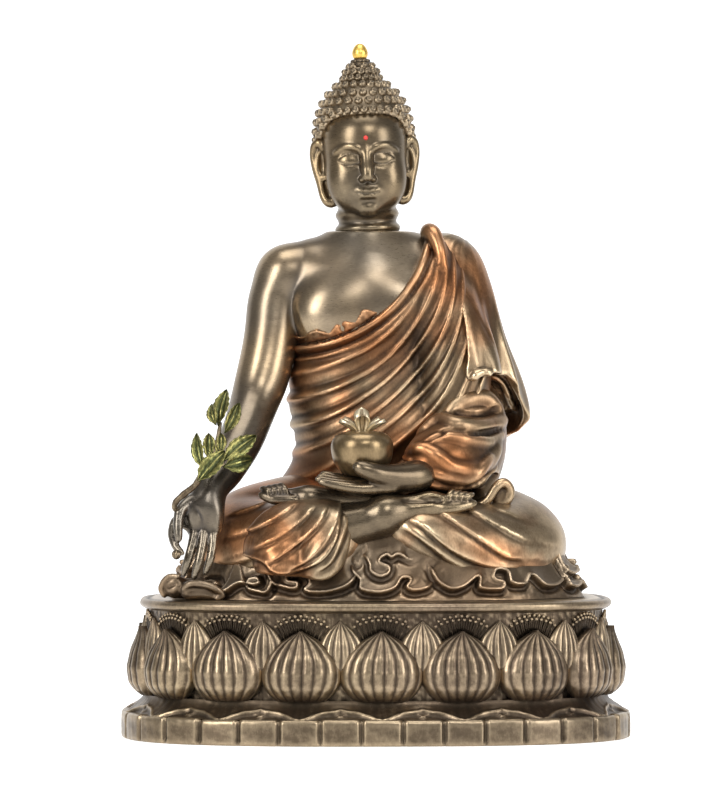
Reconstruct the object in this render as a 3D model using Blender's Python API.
"""A seated healing Buddha on an oval lotus pedestal, as the cast sections that are pinned together.

Frame: +Z up, the figure faces -Y, origin at the centre of the underside. Lengths below are in
millimetres, and every mesh is scaled to metres as it is made.
"""

import math

import bmesh
import bpy
import numpy as np
from mathutils import Matrix, Vector

MM = 0.001  # metres in a millimetre

# Overall
HEIGHT = 280.0
WIDTH = 205.0
DEPTH = 147.0
PLAN_POWER = 2.7  # exponent of the superellipse that every pedestal outline follows
FACE_GAP = 0.3  # clearance where two parts bear on each other
JOINT_GAP = 0.5  # clearance at the flat joints between sections
FORM_GAP = 0.8  # clearance where one section is hollowed to the shape of another

# Pedestal, from the table up
FELT_TOP = 1.2
PLINTH_FOOT = FELT_TOP + FACE_GAP
PLINTH_TOP = 10.5
PLINTH_WALL = 10.0
BLOCK_COUNT = 36
GROOVE_DEPTH = 1.2
PLATE_THICK = 2.0
SKIRT_FOOT = PLINTH_TOP + FACE_GAP
SKIRT_TOP = 17.4
DRUM_FOOT = SKIRT_TOP + FACE_GAP
DRUM_TOP = 51.0
DRUM_INSET = 13.5  # from the plinth's outline to the drum's outer wall
DRUM_WALL = 4.5
PETAL_COUNT = 18
PETAL_BULGE = 10.6
PETAL_SHARE = 0.9  # height of a large petal as a share of the ring's height
SMALL_TIP = 48.0
DECK_FOOT = DRUM_TOP + FACE_GAP
DECK_TOP = 56.0
DECK_INSET = 7.8
HEM_FOOT = DECK_TOP + FACE_GAP
HEM_PLATE = 3.2  # thickness of the cast hem under the legs

# Figure
LAP_Z = 101.0  # level of the joint between the legs and the robed trunk
TRUNK_X = -2.0
TRUNK_Y = 12.0
NECK_X = -2.8
NECK_JOINT_Z = 201.0
HEAD_PIVOT = (NECK_X, 10.0, 209.0)
HEAD_ROLL = math.radians(-2.5)  # the head leans towards the raised-sprig side
BROW = (0, -17.9, 31.5)  # foot of the brow jewel, from the head's pivot
CROWN_FOOT = 61.7  # where the collar sits on the hair, above the head's pivot
COLLAR_HEIGHT = 3.0
JEWEL_FOOT = CROWN_FOOT + COLLAR_HEIGHT + FACE_GAP
JEWEL_TIP = (HEIGHT - HEAD_PIVOT[2]) / math.cos(HEAD_ROLL)
NECKLINE_X, NECKLINE_Z, NECKLINE_R = -33.7, 212.0, 55.0  # the robe's edge is an arc in front view
ROBE_THICK = 2.0
BOWL_X, BOWL_Y, BOWL_FOOT, BOWL_TOP, BOWL_R = -6.7, -38.0, 104.6, 122.2, 12.4

# Hardware
STUD_X, STUD_Y, STUD_R = 30.0, 12.0, 2.5
STUD_FOOT, STUD_HEAD = 42.0, 84.0
WASHER_R, WASHER_THICK = 6.5, 1.0
NUT_R, NUT_THICK = 4.6, 4.0
DOWEL_R = 2.0
HOLE_SLACK = 0.4

# Folds of the robe across the trunk, from the covered shoulder down to the other side
ROBE_FOLDS = [
    [(20, -4, 196), (2, -17, 164), (-33, -4, 152)],
    [(24, -3, 190), (8, -18, 156), (-34, -4, 143)],
    [(28, -2, 184), (12, -18, 147), (-34, -4, 133)],
    [(30, -1, 176), (14, -19, 138), (-34, -3, 123)],
    [(31, 0, 166), (15, -19, 130), (-34, -3, 114)],
    [(31, 0, 156), (16, -19, 122), (-33, -3, 106)],
]

# Sprig: the stem from the fingers up over the forearm, then each leaf's root, tip, width and facing
STEM_PATH = [(-80.5, -48.5, 91), (-75.5, -48, 99), (-70, -44, 108), (-66, -38, 117), (-63.5, -33, 126)]
LEAVES = [
    ((-63.8, -36, 127.5), (-59.5, -28, 140.0), 8.0, (0, -1, 0.3)),
    ((-66.5, -39, 119.5), (-72.5, -36, 130.5), 7.0, (0, -1, 0.3)),
    ((-62.8, -37, 119.0), (-50.5, -33, 122.5), 7.5, (0, -1, 0.5)),
    ((-71.6, -46, 109.0), (-77.0, -43, 120.0), 7.0, (0, -1, 0.3)),
    ((-67.0, -44.5, 108.0), (-53.5, -40, 112.5), 8.0, (0, -1, 0.5)),
    ((-71.0, -49, 101.5), (-59.5, -46, 103.5), 6.5, (0, -1, 0.5)),
]
FRUIT = (-79.6, -51.5, 76.5)
FRUIT_R = 2.1

# Dowels: the ends of each, and the sections that it enters
DOWELS = [
    ("neck_dowel", (NECK_X, 12, 188), (NECK_X, 12, 216), ("chest", "head")),
    ("shoulder_dowel", (-43, 12.5, 184), (-25, 12.5, 184), ("chest", "arm")),
    ("chest_dowel", (-6, 14, 150), (-6, 14, 180), ("chest", "robe")),
    ("waist_dowel", (-2, 16, 86), (-2, 16, 116), ("legs", "robe")),
    ("wrist_dowel", (-69.6, -37.2, 92), (-64.6, -29.6, 104), ("arm", "hand")),
]

SKIN = "dark_bronze"
ROBE = "copper_bronze"
PEDESTAL = "antique_bronze"
COLOURS = {
    SKIN: ((0.20, 0.165, 0.13), 0.32, 0.9),
    ROBE: ((0.33, 0.20, 0.12), 0.36, 0.9),
    PEDESTAL: ((0.32, 0.245, 0.15), 0.38, 0.9),
    "gilt": ((0.83, 0.60, 0.16), 0.3, 1.0),
    "leaf_green": ((0.22, 0.26, 0.07), 0.4, 0.5),
    "red_enamel": ((0.55, 0.05, 0.03), 0.2, 0.0),
    "felt": ((0.03, 0.03, 0.03), 0.95, 0.0),
    "steel": ((0.55, 0.55, 0.56), 0.35, 1.0),
    "board": ((0.28, 0.20, 0.13), 0.8, 0.0),
}
FAR = 1e3
SIDES = {"left": 1, "right": -1}  # the figure's own left is at +X


# ---------------------------------------------------------------- scene and material helpers


def clear_scene():
    for obj in list(bpy.data.objects):
        bpy.data.objects.remove(obj)


def material(slot):
    found = bpy.data.materials.get(slot)
    if found:
        return found
    colour, roughness, metallic = COLOURS[slot]
    made = bpy.data.materials.new(slot)
    made.use_nodes = True
    shader = made.node_tree.nodes["Principled BSDF"]
    shader.inputs["Base Color"].default_value = (*colour, 1.0)
    shader.inputs["Roughness"].default_value = roughness
    shader.inputs["Metallic"].default_value = metallic
    return made


def node(name, points, faces, slot, smooth=True):
    """One named object from points in millimetres."""
    mesh = bpy.data.meshes.new(name)
    mesh.from_pydata([tuple(p) for p in np.asarray(points, float) * MM], [], [tuple(f) for f in faces])
    mesh.materials.append(material(slot))
    if smooth:
        mesh.shade_smooth()
        mesh.set_sharp_from_angle(angle=math.radians(40))
    obj = bpy.data.objects.new(name, mesh)
    bpy.context.scene.collection.objects.link(obj)
    return obj


def thin_out(obj, wanted):
    """Brings a dense triangle mesh down to the number of triangles wanted."""
    decimate = obj.modifiers.new("thin_out", "DECIMATE")
    decimate.ratio = wanted / len(obj.data.polygons)
    return obj


def rod_object(name, low, high, radius, slot, sides=16):
    """A straight round bar between two points, with its origin at the low end."""
    low, high = Vector(low) * MM, Vector(high) * MM
    radius, length = radius * MM, (high - low).length
    mesh = bpy.data.meshes.new(name)
    bm = bmesh.new()
    bmesh.ops.create_cone(bm, cap_ends=True, segments=sides, radius1=radius, radius2=radius, depth=length)
    bmesh.ops.translate(bm, verts=bm.verts, vec=(0, 0, length / 2))
    bm.to_mesh(mesh)
    bm.free()
    mesh.materials.append(material(slot))
    obj = bpy.data.objects.new(name, mesh)
    obj.rotation_mode = "QUATERNION"
    obj.rotation_quaternion = (high - low).to_track_quat("Z", "Y")
    obj.location = low
    bpy.context.scene.collection.objects.link(obj)
    return obj


def drill(target, name, low, high, radius):
    """A round hole cut by a hidden cutter."""
    cutter = rod_object(name, low, high, radius, "steel")
    cutter.hide_render = True
    cutter.display_type = "WIRE"
    cut = target.modifiers.new(name, "BOOLEAN")
    cut.operation = "DIFFERENCE"
    cut.solver = "EXACT"
    cut.object = cutter


def stud_point(side, z):
    """A point at height z on the axis of the left or right stud."""
    return (STUD_X * SIDES[side], STUD_Y, z)


# ---------------------------------------------------------------- pedestal outlines


def oval(inset, count, start=0.0):
    """Points and outward normals evenly spaced along the pedestal's outline, moved in by inset."""
    a, b = WIDTH / 2 - inset, DEPTH / 2 - inset
    fine = np.linspace(0, 2 * math.pi, 7201)
    x = a * np.sign(np.sin(fine)) * np.abs(np.sin(fine)) ** (2 / PLAN_POWER)
    y = -b * np.sign(np.cos(fine)) * np.abs(np.cos(fine)) ** (2 / PLAN_POWER)
    length = np.concatenate([[0], np.cumsum(np.hypot(np.diff(x), np.diff(y)))])
    at = (np.arange(count) + start) / count * length[-1]
    points = np.stack([np.interp(at, length, x), np.interp(at, length, y)], axis=1)
    slope = np.sign(points) * np.abs(points / [a, b]) ** (PLAN_POWER - 1) / [a, b]
    return points, slope / np.linalg.norm(slope, axis=1, keepdims=True)


def swept_at(points, normals, profile):
    """Cross-sections from (outward offset, height) pairs, where offset 0 is the plinth's edge."""
    return [[(*(p + n * offset), z) for offset, z in profile] for p, n in zip(points, normals, strict=True)]


def ring(name, sections, slot, smooth=True):
    """A closed ring: its cross-section at each station is a row of (x, y, z) points, outer side going up."""
    sections = np.asarray(sections)
    stations, rows = sections.shape[:2]
    points = sections.reshape(-1, 3)
    faces = []
    for i in range(stations):
        j = (i + 1) % stations
        for k in range(rows):
            m = (k + 1) % rows
            faces.append((i * rows + k, j * rows + k, j * rows + m, i * rows + m))
    return node(name, points, faces, slot, smooth)


def swept_ring(name, profile, count, slot):
    """One profile carried round the plinth's outline."""
    return ring(name, swept_at(*oval(0, count), profile), slot)


def plate(name, inset, low, high, slot, count=72):
    """A flat oval plate."""
    points, _ = oval(inset, count)
    top = [(x, y, high) for x, y in points]
    foot = [(x, y, low) for x, y in points]
    sides = [(i, (i + 1) % count, count + (i + 1) % count, count + i) for i in range(count)]
    faces = [tuple(range(count, 2 * count)), tuple(reversed(range(count))), *sides]
    return node(name, foot + top, faces, slot)


def block_band():
    """The plinth: blocks parted by upright grooves round a hollow ring."""
    per_block = 3
    points, normals = oval(0, BLOCK_COUNT * per_block, start=0.5)
    sections = []
    for i, (p, n) in enumerate(zip(points, normals, strict=True)):
        edge = GROOVE_DEPTH if i % per_block == per_block - 1 else 0.0
        profile = [
            (-edge, PLINTH_FOOT),
            (-edge, PLINTH_TOP - 1.0),
            (-edge - 1.0, PLINTH_TOP),
            (-PLINTH_WALL, PLINTH_TOP),
            (-PLINTH_WALL, PLINTH_FOOT),
        ]
        sections.append([(*(p + n * offset), z) for offset, z in profile])
    return ring("plinth_block_band", sections, PEDESTAL)


def petal_height(across, up):
    """How far a petal stands out, from 0 to 1, at a place across it (-1 to 1) and up it (0 to 1)."""
    levels = [0.0, 0.15, 0.4, 0.65, 0.82, 0.93, 1.0]
    half_width = np.interp(up, levels, [0.82, 0.93, 1.0, 0.93, 0.66, 0.32, 0.06])
    swell = np.interp(up, [0.0, 0.12, 0.4, 0.7, 0.9, 1.0], [0.45, 0.8, 1.0, 0.9, 0.62, 0.4])
    inside = max(0.0, 1.0 - abs(across / half_width) ** 2.2)
    return swell * inside**0.6 if up <= 1 else 0.0


def petal_ring():
    """The band of large petals with small ones between them, as one ring slipped over the drum."""
    per_petal, rows = 8, 8
    span = SMALL_TIP - DRUM_FOOT
    inner, ground = -DRUM_INSET + 0.4, -DRUM_INSET + 1.6
    sections = []
    for i, (p, n) in enumerate(zip(*oval(0, PETAL_COUNT * per_petal), strict=True)):
        across = ((i + per_petal / 2) % per_petal) / (per_petal / 2) - 1
        between = (i % per_petal) / (per_petal / 2) - 1
        outer = []
        for k in range(rows + 1):
            up = k / rows
            large = PETAL_BULGE * petal_height(across, up / PETAL_SHARE)
            small = 5.0 * petal_height(between / 0.7, up)
            outer.append((ground + max(large, small), DRUM_FOOT + up * span))
        profile = [*outer, (inner, DRUM_FOOT + span), (inner, DRUM_FOOT)]
        sections.append([(*(p + n * offset), z) for offset, z in profile])
    return ring("lotus_petal_ring", sections, PEDESTAL)


def skirt_ring():
    """The band of petals turned down over the plinth, their tips in line with the large petals' centres."""
    per_petal = 6
    inner = -PLINTH_WALL - 3.0
    sections = []
    for i, (p, n) in enumerate(zip(*oval(0, PETAL_COUNT * per_petal), strict=True)):
        from_tip = abs(((i + per_petal / 2) % per_petal) / (per_petal / 2) - 1)
        reach = -1.0 - 2.6 * from_tip**1.5
        profile = [
            (reach, SKIRT_FOOT),
            (reach - 0.3, SKIRT_FOOT + 1.4 - 0.6 * from_tip),
            (-5.2 - 1.2 * from_tip, SKIRT_FOOT + 3.6 - 1.2 * from_tip),
            (-8.0, SKIRT_TOP),
            (inner, SKIRT_TOP),
            (inner, SKIRT_FOOT),
        ]
        sections.append([(*(p + n * offset), z) for offset, z in profile])
    return ring("turned_down_petal_ring", sections, PEDESTAL)


def pedestal():
    plate("felt_pad", 1.5, 0.0, FELT_TOP, "felt")
    block_band()
    plate("closing_plate", PLINTH_WALL + 0.4, PLINTH_FOOT, PLINTH_FOOT + PLATE_THICK, "board")
    skirt_ring()
    drum = [
        (-DRUM_INSET, DRUM_FOOT),
        (-DRUM_INSET, DRUM_TOP),
        (-DRUM_INSET - DRUM_WALL, DRUM_TOP),
        (-DRUM_INSET - DRUM_WALL, DRUM_FOOT),
    ]
    swept_ring("pedestal_drum", drum, 72, PEDESTAL)
    petal_ring()
    stamens = [
        (-DRUM_INSET + 0.4, SMALL_TIP + 0.3),
        (-DRUM_INSET + 1.6, SMALL_TIP + 0.3),
        (-DRUM_INSET + 2.6, DRUM_TOP),
        (-DRUM_INSET + 0.4, DRUM_TOP),
    ]
    swept_ring("stamen_band", stamens, 72, PEDESTAL)
    deck()


def deck():
    """The oval top plate with its rolled rim and two holes for the studs."""
    count, rim = 72, (DECK_TOP - DECK_FOOT) / 2
    points, normals = oval(DECK_INSET + rim, count)
    angles = [math.radians(a) for a in (-90, -45, 0, 45, 90)]
    sections = [
        [(*(p + n * rim * math.cos(a)), DECK_FOOT + rim + rim * math.sin(a)) for a in angles]
        for p, n in zip(points, normals, strict=True)
    ]
    rows = len(angles)
    faces = [
        (i * rows + k, (i + 1) % count * rows + k, (i + 1) % count * rows + k + 1, i * rows + k + 1)
        for i in range(count)
        for k in range(rows - 1)
    ]
    faces.append(tuple(i * rows + rows - 1 for i in range(count)))
    faces.append(tuple(i * rows for i in reversed(range(count))))
    top = node("deck_plate", np.array(sections).reshape(-1, 3), faces, PEDESTAL)
    for side in SIDES:
        low, high = stud_point(side, DECK_FOOT - 5), stud_point(side, DECK_TOP + 5)
        drill(top, f"deck_hole_{side}", low, high, STUD_R + HOLE_SLACK)


# ---------------------------------------------------------------- modelling with distance fields


class Shape:
    """A distance function of x, y, z with the box that holds its surface."""

    def __init__(self, distance, low, high):
        self.distance, self.low, self.high = distance, np.array(low, float), np.array(high, float)


def ball(centre, radii, turn=0.0):
    """An ellipsoid, turned about Y by an angle in degrees."""
    radii = np.broadcast_to(np.array(radii, float), 3)
    c, s = math.cos(math.radians(turn)), math.sin(math.radians(turn))

    def distance(x, y, z):
        px, py, pz = x - centre[0], y - centre[1], z - centre[2]
        qx, qz = (c * px - s * pz) / radii[0], (s * px + c * pz) / radii[2]
        qy = py / radii[1]
        near = np.sqrt(qx**2 + qy**2 + qz**2)
        slope = np.sqrt((qx / radii[0]) ** 2 + (qy / radii[1]) ** 2 + (qz / radii[2]) ** 2)
        return near * (near - 1) / np.maximum(slope, 1e-6)

    reach = radii.max()
    return Shape(distance, np.array(centre) - reach, np.array(centre) + reach)


def limb(a, b, ra, rb):
    """A rod with round ends whose radius goes from ra at a to rb at b."""
    a, b = np.array(a, float), np.array(b, float)
    along = b - a
    squared = float(along @ along)

    def distance(x, y, z):
        px, py, pz = x - a[0], y - a[1], z - a[2]
        t = np.clip((px * along[0] + py * along[1] + pz * along[2]) / squared, 0, 1)
        off = (px - t * along[0]) ** 2 + (py - t * along[1]) ** 2 + (pz - t * along[2]) ** 2
        return np.sqrt(off) - (ra + (rb - ra) * t)

    reach = max(ra, rb)
    return Shape(distance, np.minimum(a, b) - reach, np.maximum(a, b) + reach)


def chain(points, radii):
    """Limbs joined end to end."""
    pairs = zip(points[:-1], points[1:], radii[:-1], radii[1:], strict=True)
    return [limb(a, b, ra, rb) for a, b, ra, rb in pairs]


def beyond(point, normal):
    """The half space past a plane, on the side that the normal points to."""
    n = np.array(normal, float) / np.linalg.norm(normal)

    def distance(x, y, z):
        return (point[0] - x) * n[0] + (point[1] - y) * n[1] + (point[2] - z) * n[2]

    return Shape(distance, [-FAR] * 3, [FAR] * 3)


def across_front(x0, z0, radius):
    """A round bar of that radius running along Y, right through the figure."""

    def distance(x, y, z):
        return np.sqrt((x - x0) ** 2 + (z - z0) ** 2) - radius + 0 * y

    return Shape(distance, [-FAR] * 3, [FAR] * 3)


class Clay:
    """A solid built up by adding and cutting away shapes, in order."""

    def __init__(self, *shapes, blend=6.0):
        self.steps = []
        self.add(*shapes, blend=blend)

    def add(self, *shapes, blend=6.0):
        self.steps += [("add", shape, blend) for shape in shapes]
        return self

    def cut(self, shape, grow=0.0):
        self.steps.append(("cut", shape, grow))
        return self

    def keep(self, shape, grow=0.0):
        self.steps.append(("keep", shape, grow))
        return self

    def fatter(self, by):
        self.steps.append(("fatter", None, by))
        return self

    def sample(self, axes):
        """Distances, in millimetres, on the grid whose three axes are given."""
        field = np.full([len(a) for a in axes], FAR, np.float32)
        for action, shape, value in self.steps:
            if action == "fatter":
                field -= value
                continue
            if isinstance(shape, Clay):
                found, window = shape.sample(axes), (slice(None),) * 3
            else:
                margin = 12.0
                window = tuple(
                    slice(*np.searchsorted(axis, (lo - margin, hi + margin)))
                    for axis, lo, hi in zip(axes, shape.low, shape.high, strict=True)
                )
                if any(s.start >= s.stop for s in window):
                    continue
                found = shape.distance(*np.ix_(*[a[s] for a, s in zip(axes, window, strict=True)]))
            if action == "add":
                field[window] = blended(field[window], found, value)
            elif action == "cut":
                field[window] = np.maximum(field[window], value - found)
            else:
                field[window] = np.maximum(field[window], found - value)
        return field


def blended(a, b, width):
    """The lesser of two distances, with the crease between them rounded over that width."""
    overlap = np.clip(width - np.abs(a - b), 0, None) / max(width, 1e-6)
    return np.minimum(a, b) - overlap**2 * width / 4


def skinned(field, axes, step):
    """Triangles round the places where the field is below zero.

    Each grid cube is split into six tetrahedra, which keeps the surface closed and free of edges
    that more than two triangles share.
    """
    least = 0.12 * step
    field = np.where(np.abs(field) < least, np.copysign(least, field), field)
    size = np.array(field.shape)
    flat = field.ravel()
    stride = np.array([size[1] * size[2], size[2], 1])
    corners = [(i, j, k) for i in (0, 1) for j in (0, 1) for k in (0, 1)]
    inside = (field < 0).astype(np.int8)
    last = size - 1
    filled = sum(inside[i : last[0] + i, j : last[1] + j, k : last[2] + k] for i, j, k in corners)
    cubes = np.argwhere((filled > 0) & (filled < 8)) @ stride
    found, outward = [], []
    for order in ((0, 1, 2), (1, 2, 0), (2, 0, 1), (0, 2, 1), (2, 1, 0), (1, 0, 2)):
        tets = cubes[:, None] + np.concatenate([[0], np.cumsum(stride[list(order)])])
        full = flat[tets] < 0
        count = full.sum(axis=1)
        tets = np.take_along_axis(tets, np.argsort(~full, axis=1, kind="stable"), axis=1)
        places = np.stack(np.unravel_index(tets, size), axis=-1)
        for wanted, triangle in (
            (1, ((0, 1), (0, 2), (0, 3))),
            (3, ((0, 3), (1, 3), (2, 3))),
            (2, ((0, 2), (0, 3), (1, 3))),
            (2, ((0, 2), (1, 3), (1, 2))),
        ):
            hit = count == wanted
            found.append(tets[hit][:, triangle])
            outward.append(places[hit, wanted:].mean(axis=1) - places[hit, :wanted].mean(axis=1))
    found, outward = np.concatenate(found), np.concatenate(outward)
    edges, faces = np.unique(found.reshape(-1, 2), axis=0, return_inverse=True)
    faces = faces.reshape(-1, 3)
    first, second = flat[edges[:, 0]], flat[edges[:, 1]]
    share = (first / (first - second))[:, None]
    start, end = (np.stack(np.unravel_index(edges[:, k], size), axis=1) for k in (0, 1))
    points = np.array([axis[0] for axis in axes]) + (start + share * (end - start)) * step
    normal = np.cross(points[faces[:, 1]] - points[faces[:, 0]], points[faces[:, 2]] - points[faces[:, 0]])
    turned_over = (normal * outward).sum(axis=1) < 0
    faces[turned_over] = faces[turned_over][:, ::-1]
    return points, faces


def largest_part(points, faces):
    """The points and faces of the biggest connected piece of a mesh."""
    group = np.arange(len(points))
    while True:
        lowest = group[faces].min(axis=1)
        before = group.copy()
        for k in range(3):
            np.minimum.at(group, faces[:, k], lowest)
        group = group[group]
        if (group == before).all():
            break
    sizes = np.bincount(group[faces[:, 0]])
    kept = faces[group[faces[:, 0]] == sizes.argmax()]
    used = np.unique(kept)
    renumber = np.zeros(len(points), int)
    renumber[used] = np.arange(len(used))
    return points[used], renumber[kept]


def cast(name, clay, low, high, step, slot, triangles):
    """A node meshed from clay inside a box."""
    axes = [np.arange(lo - 2 * step, hi + 2.5 * step, step) for lo, hi in zip(low, high, strict=True)]
    points, faces = largest_part(*skinned(clay.sample(axes), axes, step))
    return thin_out(node(name, points, faces, slot), triangles)


# ---------------------------------------------------------------- the figure's forms


def trunk_form():
    """The body from the hips to the neck, as if it wore nothing."""
    return Clay(
        ball((TRUNK_X, TRUNK_Y, 176), (36, 22, 27)),
        limb((-31, 13, 188), (28, 13, 188.5), 9.5, 9.5),
        limb((TRUNK_X, 16, 192.5), (-24, 14, 190.5), 9, 9),
        limb((TRUNK_X, 16, 192.5), (20, 14, 191.5), 9, 9),
        limb((NECK_X, 13, 196), (NECK_X, 12, 206), 14, 12.5),
        ball((-19, -1, 175), (15, 9, 11)),
        ball((TRUNK_X, TRUNK_Y, 138), (31, 21, 44)),
        ball((TRUNK_X + 2, 2, 118), (25, 18, 24)),
        ball((TRUNK_X + 1, 13, 100), (35, 24, 20)),
        blend=9,
    )


def neck_and_head_form():
    """The head and neck upright and centred on x = 0, with z = 0 at the pivot under the chin."""
    form = Clay(
        ball((0, 1, 27), (16.6, 19, 20)),
        ball((0, -3.5, 17), (14.2, 14.5, 17)),
        ball((0, -10, 5.0), (7.0, 6, 5)),
        limb((0, 3, -8.5), (0, 2, 6), 12.4, 11),
        blend=6,
    )
    form.add(limb((0, -16.5, 24), (0, -19.5, 16), 1.2, 2.3), blend=2.5)
    for side in (-1, 1):
        form.add(limb((side * 2.2, -17.3, 25.8), (side * 10.5, -14.2, 26.4), 1.3, 1.0), blend=2.5)
        form.add(ball((side * 6.0, -13.9, 22.4), (4.0, 3.0, 2.4)), blend=1.2)
        ear = [(side * 17.4, 2, 30), (side * 18.4, 1, 20), (side * 16.6, -0.5, 8)]
        form.add(*chain(ear, [2.6, 2.0, 2.6]), blend=2)
    form.add(limb((-3.6, -16.3, 10.8), (3.6, -16.3, 10.8), 1.5, 1.5), blend=1.5)
    return form.add(*[ball((0, 3, z), (12.9, 12.9, 1.3)) for z in (-1.5, -4.5, -7.5)], blend=1.0)


def hair_form():
    """The cap of curls with the raised crown above it, in the head's own frame."""
    form = Clay(ball((0, 3, 31), (19.2, 21, 19)), ball((0, 4, 37), (18.2, 19, 19)), blend=6)
    form.add(limb((0, 4, 49), (0, 4, 55.5), 12.2, 8.8), blend=4)
    return form.cut(Clay(ball((0, -22, 22), (15.5, 18, 19.5)), blend=0))


def leg_form():
    """The crossed legs under the robe, with the seat behind them."""
    form = Clay(
        ball((0, 14, 78), (48, 32, 26)),
        *chain([(-14, 10, 84), (-40, -2, 81), (-56, -13, 77)], [21, 19, 16.5]),
        *chain([(14, 10, 84), (38, -2, 81), (58.5, -13, 77)], [21, 19, 16.5]),
        *chain([(-56, -18, 75), (-36, -34, 76), (-14, -42, 76)], [16, 13.5, 10.5]),
        *chain([(57, -18, 74), (34, -35, 71), (6, -43, 69)], [16, 13.5, 10]),
        blend=7,
    )
    folds = [
        [(-66, -22, 88), (-46, -42, 86), (-22, -52, 76)],
        [(-69, -24, 77), (-50, -45, 74), (-24, -53, 66)],
        [(-58, -12, 94), (-40, -30, 94), (-20, -44, 86)],
        [(68, -22, 87), (46, -42, 82), (20, -51, 72)],
        [(70, -24, 76), (48, -45, 72), (20, -53, 64)],
        [(60, -12, 94), (44, -30, 91), (24, -46, 81)],
    ]
    for path in folds:
        form.add(*chain(path, [2.4, 3.4, 2.4]), blend=4)
    return form.cut(beyond((0, 0, HEM_FOOT + HEM_PLATE + JOINT_GAP), (0, 0, -1)))


def arm_form():
    """The bare arm from the shoulder to the wrist."""
    points = [
        (-35.5, 13, 186.5),
        (-40.5, 11, 175),
        (-41.6, 9, 163),
        (-44.5, 6, 148),
        (-48.5, 1, 135),
        (-54, -12, 120),
        (-61, -24, 107.5),
        (-67.3, -33, 99.5),
    ]
    return Clay(*chain(points, [10.5, 9.2, 9.0, 9.3, 8.2, 7.3, 6.3, 5.4]), blend=4)


def giving_hand_form():
    """The open hand that hangs in front of the knee, with thumb and first finger round the stem."""
    form = Clay(
        limb((-67.8, -34, 99), (-69.5, -37, 90), 5.2, 7.0),
        ball((-70.8, -38.5, 86), (8.6, 4.2, 8.5), turn=8),
        blend=4,
    )
    fingers = [
        ([(-75.6, -40, 80), (-78.4, -44, 75), (-79.2, -46.5, 72.5)], [2.3, 2.1, 1.9]),
        ([(-72.6, -40, 80), (-75.0, -42, 71), (-76.2, -41.5, 64.6)], [2.4, 2.1, 1.8]),
        ([(-68.7, -40, 80), (-71.0, -42, 71), (-72.7, -41.5, 64.6)], [2.4, 2.1, 1.8]),
        ([(-64.6, -39, 81), (-66.6, -41, 72), (-69.0, -40.5, 65.8)], [2.2, 1.9, 1.7]),
        ([(-75.4, -39, 92), (-79.4, -42, 87), (-79.8, -45, 79.6)], [3.2, 2.7, 2.2]),
    ]
    for points, radii in fingers:
        form.add(*chain(points, radii), blend=1.6)
    return form


def holding_hand_form():
    """The hand that lies in the lap, palm up, under the bowl."""
    form = Clay(
        limb((17, -34, 105), (3, -38, 101.5), 6.0, 6.2),
        ball((-4, -38, 99.5), (11, 8, 4.2)),
        blend=5,
    )
    for k in range(4):
        y = -44.5 + 3.9 * k
        finger = [(-6, y, 99.5), (-16, y, 101), (-23 + 0.8 * k, y, 104)]
        form.add(*chain(finger, [2.4, 2.1, 1.7]), blend=1.6)
    thumb = [(5, -43, 102), (-3, -50.8, 106), (-10.5, -51.0, 110.5)]
    return form.add(*chain(thumb, [3.6, 3.0, 2.4]), blend=3)


def front_foot_form():
    """The ankle and upturned foot that lie on the far thigh, in front."""
    form = Clay(
        limb((-12, -46, 83), (4, -46, 88), 7.6, 7.4),
        limb((2, -45, 89.5), (22, -42, 92.5), 7.0, 5.6),
        limb((22, -42, 92.5), (34, -39, 96.0), 5.6, 3.8),
        blend=5,
    )
    for k in range(5):
        root, tip = (34, -43 + 2.9 * k, 96), (39 - 0.6 * k, -43.5 + 3.1 * k, 99)
        form.add(limb(root, tip, 1.9, 1.6), blend=1.2)
    return form


def rear_foot_form():
    """The other upturned foot, behind, with its toes past the near side of the waist."""
    form = Clay(
        limb((-6, -33, 91), (-28, -34, 95), 6.0, 5.2),
        limb((-28, -34, 95), (-37, -34, 97), 5.2, 3.8),
        blend=5,
    )
    for k in range(5):
        root, tip = (-37, -39 + 2.6 * k, 97.5), (-42 + 0.6 * k, -39.5 + 2.8 * k, 100.5)
        form.add(limb(root, tip, 1.9, 1.6), blend=1.2)
    return form


def drape_form():
    """The end of the robe over the shoulder, hanging round the arm as a cape."""
    form = Clay(
        *chain(
            [(22, 13, 196), (33, 13, 189), (38, 12, 172), (42, 12, 155), (46, 14, 140)],
            [9.5, 11.5, 12.5, 13.5, 14.5],
        ),
        *chain([(30, 26, 186), (36, 30, 160), (40, 32, 132)], [8, 10, 10]),
        *chain([(28, 0, 178), (32, -5, 160), (33, -7, 146)], [5, 7, 7]),
        blend=8,
    )
    folds = [
        [(22, 0, 196), (27, -8, 170), (28, -14, 146)],
        [(30, 0, 192), (38, -6, 165), (39, -13, 144)],
        [(37, 3, 188), (48, -1, 164), (52, -4, 144)],
        [(42, 8, 186), (54, 10, 160), (61, 12, 138)],
        [(41, 18, 184), (52, 26, 158), (56, 30, 134)],
        [(34, 26, 184), (42, 40, 156), (44, 44, 130)],
    ]
    for path in folds:
        form.add(*chain(path, [1.8, 2.6, 2.8]), blend=4)
    return form.cut(beyond((44, 0, 131), (0.12, 0.28, -1)))


def sleeve_form():
    """The draped forearm from the elbow to the lap."""
    form = Clay(
        *chain([(39, 6, 128), (37, 0, 119), (30, -20, 111), (23, -31, 107)], [11, 13.5, 13, 10]),
        blend=7,
    )
    folds = [
        [(18, -22, 124), (34, -20, 128), (50, -2, 126)],
        [(14, -34, 114), (32, -34, 118), (50, -8, 112)],
        [(18, -42, 106), (34, -34, 106), (48, -8, 102)],
    ]
    for path in folds:
        form.add(*chain(path, [1.6, 2.4, 1.8]), blend=3)
    return form


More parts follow.
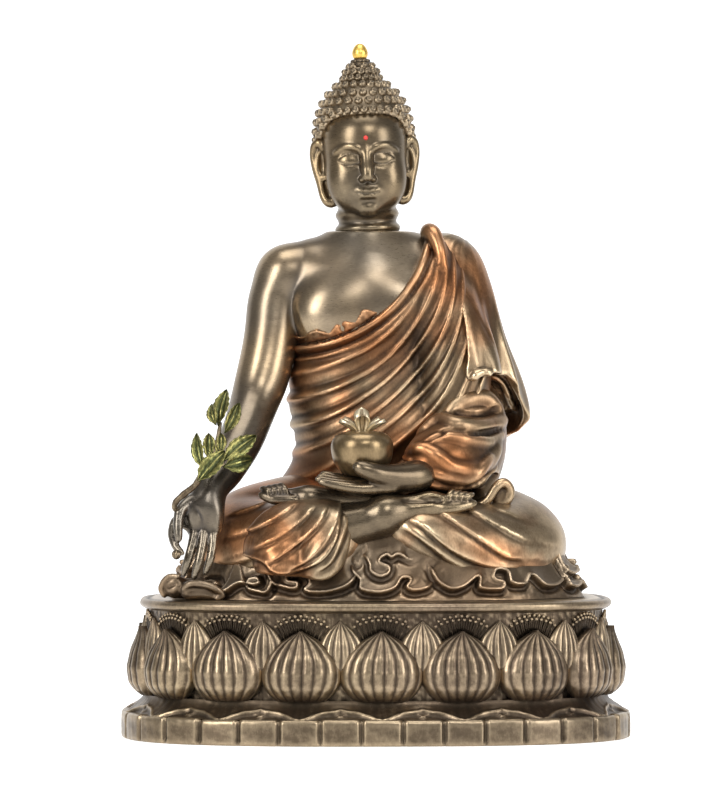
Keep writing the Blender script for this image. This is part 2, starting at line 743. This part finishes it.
def seat_hem_form():
    """The robe's gathered hem, spread on the deck round the legs in loose pleats."""
    form = Clay(ball((0, -3, DECK_TOP), (80, 53, 9)), blend=0)
    pleats = 30
    for k in range(pleats):
        angle = 2 * math.pi * k / pleats
        out = 1.0 + 0.03 * math.sin(5 * angle) + 0.025 * math.cos(9 * angle)
        x, y = 79 * out * math.sin(angle), -3 - 51 * out * math.cos(angle)
        rise = 2.2 + 0.9 * math.sin(7 * angle)
        form.add(limb((x * 0.86, y * 0.86, DECK_TOP + 4), (x, y, DECK_TOP + rise), 5.4, 3.6), blend=2.5)
    return form.cut(beyond((0, 0, HEM_FOOT), (0, 0, -1)))


def hanging_hem_form():
    """The front end of the robe, hanging over the crossed shins down to the deck."""
    form = Clay(
        *chain([(-22, -48, 84), (-24, -53, 74), (-24, -56, 66)], [5, 6, 6]),
        *chain([(-10, -50, 78), (-13, -55, 70), (-15, -57, 64)], [4, 5, 5]),
        *chain([(-34, -46, 80), (-37, -52, 70), (-37, -54, 64)], [4, 5, 4]),
        blend=4,
    )
    return form.cut(beyond((0, 0, DECK_TOP + 5), (0, 0, -1)))


# ---------------------------------------------------------------- the figure's sections


def figure():
    """Each section is a form, less the neighbours that lie against it."""
    gap, half = FORM_GAP, JOINT_GAP / 2
    bare = across_front(NECKLINE_X, NECKLINE_Z, NECKLINE_R)
    shoulder = beyond((-33.5, 13, 188), (-1, 0, -0.12))
    above_lap = beyond((0, 0, LAP_Z), (0, 0, 1))
    below_neck = beyond((0, 0, NECK_JOINT_Z), (0, 0, -1))
    robe_form = trunk_form().fatter(ROBE_THICK)
    for path in ROBE_FOLDS:
        robe_form.add(*chain(path, [1.6, 2.2, 1.8]), blend=3)

    lap_hand = holding_hand_form().cut(bowl_form(), gap)
    front_foot = front_foot_form().cut(lap_hand, gap)
    robed = Clay(robe_form, blend=0).keep(above_lap, -half).cut(bare, half).cut(arm_form(), gap)
    robed.cut(lap_hand, gap)
    rear_foot = rear_foot_form().cut(lap_hand, gap).cut(front_foot, gap).cut(robed, gap)
    chest = Clay(trunk_form(), blend=0).keep(bare, -half).cut(shoulder, half).keep(below_neck, -half)
    arm = arm_form().keep(shoulder, -half).cut(giving_hand_form(), gap)
    sleeve = sleeve_form().cut(lap_hand, gap).cut(robed, gap).cut(front_foot, gap)
    drape = drape_form().cut(robed, gap).cut(chest, gap).cut(sleeve, gap)
    legs = leg_form().cut(above_lap, half)
    for piece in (front_foot, rear_foot, lap_hand, sleeve, giving_hand_form(), robed):
        legs.cut(piece, gap)
    front_hem = hanging_hem_form().cut(legs, 1.5 * gap).cut(front_foot, gap)
    hem = seat_hem_form().cut(leg_form(), gap).cut(giving_hand_form(), gap).cut(front_hem, gap)

    made = {
        "legs": cast("leg_section", legs, (-80, -60, 56), (80, 50, 106), 2.6, ROBE, 1500),
        "hem": cast("seat_hem", hem, (-92, -66, 54), (92, 66, 72), 2.2, ROBE, 1200),
        "robe": cast("robed_trunk_section", robed, (-42, -22, 96), (46, 44, 214), 2.4, ROBE, 1600),
        "chest": cast("bare_chest_section", chest, (-42, -16, 150), (30, 40, 204), 2.2, SKIN, 450),
        "arm": cast("giving_arm", arm, (-78, -40, 92), (-28, 26, 200), 1.8, SKIN, 450),
        "hand": cast("giving_hand", giving_hand_form(), (-84, -50, 62), (-60, -30, 106), 0.8, SKIN, 750),
    }
    cast("robe_front_end", front_hem, (-46, -66, 58), (0, -40, 94), 1.6, ROBE, 300)
    cast("lap_hand", lap_hand, (-26, -56, 92), (24, -26, 114), 0.9, SKIN, 600)
    cast("front_foot", front_foot, (-22, -58, 72), (46, -28, 104), 1.2, SKIN, 450)
    cast("rear_foot", rear_foot, (-48, -44, 84), (0, -22, 106), 1.2, SKIN, 330)
    cast("shoulder_drape", drape, (8, -24, 112), (78, 58, 212), 2.2, ROBE, 1000)
    cast("forearm_sleeve", sleeve, (8, -50, 92), (60, 22, 144), 1.9, ROBE, 600)
    made["head"] = head_section()
    bowl_and_crown()
    sprig()
    hardware(made)


def bowl_form():
    """A ball that the bowl just fits inside, for the hand to be hollowed round."""
    middle, half_height = (BOWL_FOOT + BOWL_TOP) / 2 + 1, (BOWL_TOP - BOWL_FOOT) / 2
    return ball((BOWL_X, BOWL_Y, middle), (BOWL_R + 1, BOWL_R + 1, half_height + 2.2))


def turned(name, profile, centre, slot, sides=24):
    """A solid of revolution about an upright axis, from (radius, height) points going up, both ends on it."""
    x, y = centre
    points = [(x, y, profile[0][1])]
    for radius, z in profile[1:-1]:
        angles = [2 * math.pi * k / sides for k in range(sides)]
        points += [(x + radius * math.cos(a), y + radius * math.sin(a), z) for a in angles]
    points.append((x, y, profile[-1][1]))
    rows, last = len(profile) - 2, len(points) - 1
    faces = []
    for k in range(sides):
        m = (k + 1) % sides
        faces.append((0, 1 + m, 1 + k))
        faces.append((last, last - sides + k, last - sides + m))
        for r in range(rows - 1):
            low, high = 1 + r * sides, 1 + (r + 1) * sides
            faces.append((low + k, low + m, high + m, high + k))
    return node(name, points, faces, slot)


def bowl_and_crown():
    belly = [(0, 0), (6.5, 0.2), (10.2, 2.6), (12.2, 7.0), (BOWL_R, 10.8), (11.0, 14.2)]
    lid = [(7.6, 16.8), (4.2, 17.5), (0, 17.5)]
    profile = [(r, BOWL_FOOT + 0.4 + z) for r, z in belly + lid]
    turned("medicine_bowl", profile, (BOWL_X, BOWL_Y), PEDESTAL)
    crown = [(0, 0), (3.0, 0), (3.4, 2.0), (5.6, 7.5), (3.6, 7.0), (2.4, 9.6), (0, 10.0)]
    low = BOWL_TOP + 0.9
    turned("fruit_leaf_crown", [(r, low + z) for r, z in crown], (BOWL_X, BOWL_Y), PEDESTAL, 10)


def posed_head(obj):
    """Moves a piece made in the head's own frame to its place."""
    obj.rotation_euler = (0, HEAD_ROLL, 0)
    obj.location = Vector(HEAD_PIVOT) * MM


def head_section():
    skull = ball((0, 3, 29), (14.5, 15.5, 17))
    nape = beyond((0, 0, 12), (0, -0.35, -1))
    hair = hair_form().cut(nape).cut(skull)
    head = neck_and_head_form().cut(hair, FORM_GAP)
    head.cut(beyond((0, 0, NECK_JOINT_Z - HEAD_PIVOT[2] + JOINT_GAP), (0, 0, -1)))
    made = cast("head_section", head, (-24, -26, -12), (24, 26, 50), 1.3, SKIN, 1050)
    posed_head(made)
    hair.cut(beyond((0, 0, CROWN_FOOT), (0, 0, 1)), JOINT_GAP)
    posed_head(cast("hair_cap", hair, (-24, -24, 6), (24, 28, 66), 1.6, PEDESTAL, 900))
    collar = [(0, 0), (4.4, 0), (4.9, 0.24), (4.4, 0.47), (3.7, 0.58), (4.0, 0.8), (3.5, 1), (0, 1)]
    collar = [(r, CROWN_FOOT + COLLAR_HEIGHT * up) for r, up in collar]
    posed_head(turned("crown_collar", collar, (0, 4), PEDESTAL, 20))
    jewel = [(0, 0), (2.3, 0), (3.1, 0.26), (2.8, 0.56), (1.4, 0.86), (0, 1)]
    jewel = [(r, JEWEL_FOOT + (JEWEL_TIP - JEWEL_FOOT) * up) for r, up in jewel]
    posed_head(turned("crown_jewel", jewel, (0, 4), "gilt", 16))
    profile = [(0, 0), (0.7, 0.15), (0.9, 0.6), (0.6, 1.1), (0, 1.3)]
    bead = turned("brow_jewel", profile, (0, 0), "red_enamel", 10)
    bead.data.transform(Matrix.Translation(Vector(BROW) * MM) @ Matrix.Rotation(math.pi / 2, 4, "X"))
    posed_head(bead)
    return made


def leaf(name, root, tip, width, facing):
    """A pointed leaf as a thin closed lens, arched a little away from the side it faces."""
    root, tip, facing = Vector(root), Vector(tip), Vector(facing)
    along = tip - root
    side = along.cross(facing).normalized()
    up = side.cross(along).normalized()
    stations, thick = 7, 0.55
    rim, spine, back = [], [], []
    for k in range(1, stations):
        t = k / stations
        half = width / 2 * math.sin(math.pi * t**0.85) ** 0.8
        centre = root + along * t + up * (2.2 * math.sin(math.pi * t))
        rim.append((centre - side * half, centre + side * half))
        spine.append(centre + up * (thick + 0.18 * half))
        back.append(centre - up * thick)
    points = [root, tip]
    for (left, right), top, under in zip(rim, spine, back, strict=True):
        points += [left, top, right, under]
    faces = []
    for m in range(4):
        n = (m + 1) % 4
        faces.append((0, 2 + n, 2 + m))
        last = 2 + 4 * (stations - 2)
        faces.append((1, last + m, last + n))
        for k in range(stations - 2):
            low, high = 2 + 4 * k, 6 + 4 * k
            faces.append((low + m, low + n, high + n, high + m))
    made = node(name, [tuple(p) for p in points], faces, "leaf_green")
    bm = bmesh.new()
    bm.from_mesh(made.data)
    bmesh.ops.triangulate(bm, faces=bm.faces)
    bmesh.ops.recalc_face_normals(bm, faces=bm.faces)
    bm.to_mesh(made.data)
    bm.free()


def sprig():
    """The stem held by the hand, its leaves, and the round fruit at its end."""
    stem = Clay(*chain(STEM_PATH, [1.2, 1.3, 1.3, 1.2, 1.1]), blend=1)
    stem.cut(giving_hand_form(), FORM_GAP).cut(arm_form(), FORM_GAP)
    cast("sprig_stem", stem, (-86, -56, 86), (-50, -24, 136), 0.8, PEDESTAL, 260)
    for k, (root, tip, width, facing) in enumerate(LEAVES):
        leaf(f"sprig_leaf_{k + 1}", root, tip, width, facing)
    place = Vector(FRUIT) * MM
    bpy.ops.mesh.primitive_uv_sphere_add(segments=14, ring_count=8, radius=FRUIT_R * MM, location=place)
    fruit = bpy.context.object
    fruit.name = "myrobalan_fruit"
    fruit.data.materials.append(material(PEDESTAL))
    fruit.data.shade_smooth()


def hardware(made):
    """The dowels, studs, washers and nuts that hold the sections together, and the holes for them."""
    for name, low, high, targets in DOWELS:
        rod_object(name, low, high, DOWEL_R, "steel", 12)
        low, high = Vector(low), Vector(high)
        end = (high - low).normalized() * HOLE_SLACK
        for target in targets:
            drill(made[target], f"{name}_hole_{target}", low - end, high + end, DOWEL_R + HOLE_SLACK)
    for side in SIDES:
        low, high = stud_point(side, STUD_FOOT), stud_point(side, STUD_HEAD)
        rod_object(f"base_stud_{side}", low, high, STUD_R, "steel", 12)
        low, high = Vector(low), Vector(high)
        past = high + Vector((0, 0, HOLE_SLACK))
        for target in ("legs", "hem"):
            drill(made[target], f"stud_hole_{target}_{side}", low, past, STUD_R + HOLE_SLACK)
        washer_top = DECK_FOOT - FACE_GAP
        washer = rod_object(
            f"stud_washer_{side}",
            stud_point(side, washer_top - WASHER_THICK),
            stud_point(side, washer_top),
            WASHER_R,
            "steel",
            20,
        )
        drill(washer, f"washer_bore_{side}", low, high, STUD_R + HOLE_SLACK)
        nut_top = washer_top - WASHER_THICK - FACE_GAP
        nut_foot = nut_top - NUT_THICK
        nut = rod_object(
            f"stud_nut_{side}", stud_point(side, nut_foot), stud_point(side, nut_top), NUT_R, "steel", 6
        )
        drill(nut, f"nut_bore_{side}", low - Vector((0, 0, 5)), high, STUD_R + FACE_GAP)


clear_scene()
pedestal()
figure()
